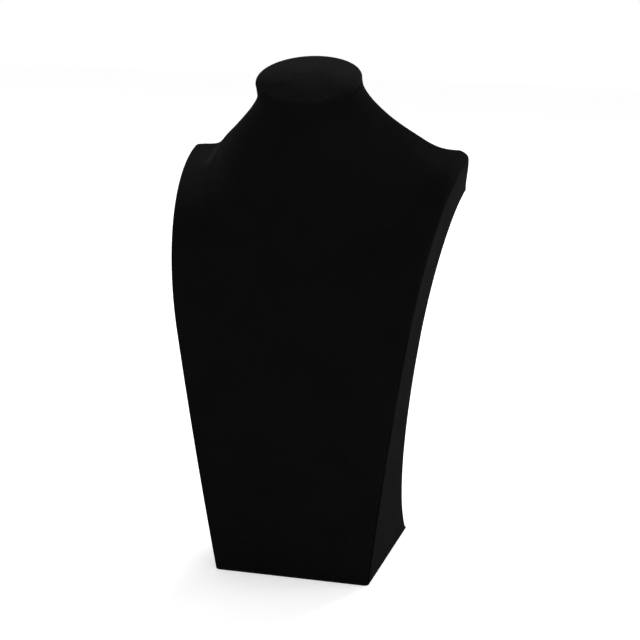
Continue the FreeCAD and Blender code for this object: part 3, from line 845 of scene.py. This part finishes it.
# %% Cloth
CUTS = [
    (front_cover, "front_cover", "front_velvet", (0.215, 0.47), 0.0705,
     ["front_shell", "side_board_left", "side_board_right"]),
    (back_cover, "back_cover", "back_velvet", (0.185, 0.3), 0.0445, ["back_panel"]),
    (side_covers["left"], "side_cover_left", "side_velvet", (0.145, 0.29), 0.0195,
     ["side_board_left"]),
    (side_covers["right"], "side_cover_right", "side_velvet", (0.145, 0.29), 0.0195,
     ["side_board_right"]),
    (neck_cover, "neck_cover", "neck_velvet", (0.075, 0.07), 0.004, ["neck_board"]),
]
for cover, node, slot, flat, area, under in CUTS:
    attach(cover, "root")
    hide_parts(node)
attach(foot_card, "root")
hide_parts("underside_sheet")
print(len(CUTS), "pieces of velvet and the card ride on the body")

# %% [markdown]
# ## Floor and world
# The photo is of a product on plain white. The floor is white and catches the shadow. It shines
# a little where the camera sees it, so that it ends up as white as the world behind it, which
# is plain white to the camera and lights the bust at a lower level.

# %% Floor and world
FLOOR_REACH, FLOOR_GREY, FLOOR_LIFT = 4.0, 0.9, 0.45
WORLD_LEVEL = 0.55


def seen_directly(finish):
    """1 for what the camera sees, also in a mirror or through glass, and 0 for what lights."""
    rays = [finish.node("ShaderNodeLightPath", output=f"Is {kind} Ray")
            for kind in ("Camera", "Glossy", "Transmission")]
    return finish.node("ShaderNodeClamp", None, {"Value": rays[0] + rays[1] + rays[2]})


def make_floor():
    """A wide white floor at the height of the underside."""
    corners = [(x * FLOOR_REACH, y * FLOOR_REACH, 0) for x, y in ((-1, -1), (1, -1), (1, 1), (-1, 1))]
    mesh = bpy.data.meshes.new("floor")
    mesh.from_pydata(corners, [], [(0, 1, 2, 3)])
    floor = bpy.data.objects.new("floor", mesh)
    bpy.context.scene.collection.objects.link(floor)
    finish = Finish(bpy.data.materials.new("white floor"))
    mesh.materials.append(finish.surface(
        Base_Color=(FLOOR_GREY, FLOOR_GREY, FLOOR_GREY, 1), Roughness=0.9,
        Emission_Strength=FLOOR_LIFT,
        Emission_Color=finish.blend(seen_directly(finish), (0, 0, 0), (1, 1, 1))))
    return floor


make_floor()


def make_world(level):
    """A world that lights at a level, and is plain white where it is seen."""
    finish = Finish(bpy.data.worlds.new("studio"))
    light, white = (finish.node("ShaderNodeBackground", None,
                                {"Color": (1, 1, 1, 1), "Strength": strength})
                    for strength in (level, 1.0))
    finish.end(finish.node("ShaderNodeMixShader", None, {
        0: seen_directly(finish), 1: light, 2: white}), "ShaderNodeOutputWorld")
    bpy.context.scene.world = finish.owner


make_world(WORLD_LEVEL)
print(f"floor {2 * FLOOR_REACH:.0f} m wide, world at {WORLD_LEVEL}")

# %% [markdown]
# ## Lamps
# In the photo the neck's top and the strip on the left side are lightest and the chest is
# darkest, so the light comes from above and behind, and some from the side. Large square lamps
# give the soft steps between them that a small one would make hard. A weak lamp in front keeps
# the chest from going black.

# %% Lamps
AIM = (0, 0, 0.2)


def look(place, target):
    """The turn of an object at a place that faces a target."""
    return (Vector(target) - Vector(place)).to_track_quat("-Z", "Y").to_euler()


def lamp(name, place, size, watts):
    """A square soft lamp that faces the bust."""
    data = bpy.data.lights.new(name, "AREA")
    data.size, data.energy = size, watts
    light = bpy.data.objects.new(name, data)
    light.location, light.rotation_euler = place, look(place, AIM)
    bpy.context.scene.collection.objects.link(light)


lamp("top light", (0.4, 1.3, 1.6), 1.2, 26)
lamp("side light", (1.7, 0.3, 0.9), 1.0, 9)
lamp("front light", (-0.6, -1.8, 1.0), 1.4, 6)
print("lamps:", ", ".join(data.name for data in bpy.data.lights))

# %% [markdown]
# ## Camera
# The photo was taken from a little above and to the left side of the bust, with a long lens and
# the camera turned by a degree. Its place was fitted to the photo's outline. A matrix made from
# three directions holds the roll as well, which aiming at a target alone would lose.

# %% Camera
AZIMUTH, ELEVATION, ROLL = (math.radians(angle) for angle in (14.45, 12.56, 1.14))
DISTANCE, TARGET = 1.202, np.array([0.00407, -0.01318, 0.1702])
LENS = 98.07


def place_camera():
    """The photo's camera: it looks at a target from a distance, turned a little about its line."""
    back = np.array([math.sin(AZIMUTH) * math.cos(ELEVATION),
                     -math.cos(AZIMUTH) * math.cos(ELEVATION), math.sin(ELEVATION)])
    right = np.cross(-back, (0, 0, 1))
    right /= np.linalg.norm(right)
    up = np.cross(right, -back)
    across = math.cos(ROLL) * right + math.sin(ROLL) * up
    upward = -math.sin(ROLL) * right + math.cos(ROLL) * up
    matrix = np.eye(4)
    matrix[:3, 0], matrix[:3, 1], matrix[:3, 2] = across, upward, back
    matrix[:3, 3] = TARGET + back * DISTANCE
    data = bpy.data.cameras.new("camera")
    data.lens, data.sensor_width = LENS, 36
    data.clip_start, data.clip_end = 0.05, 50
    camera = bpy.data.objects.new("camera", data)
    camera.matrix_world = matrix.T.tolist()
    bpy.context.scene.collection.objects.link(camera)
    bpy.context.scene.camera = camera


place_camera()
bpy.context.scene.view_settings.view_transform = "Standard"
print(f"camera {DISTANCE} m away, lens {LENS} mm")
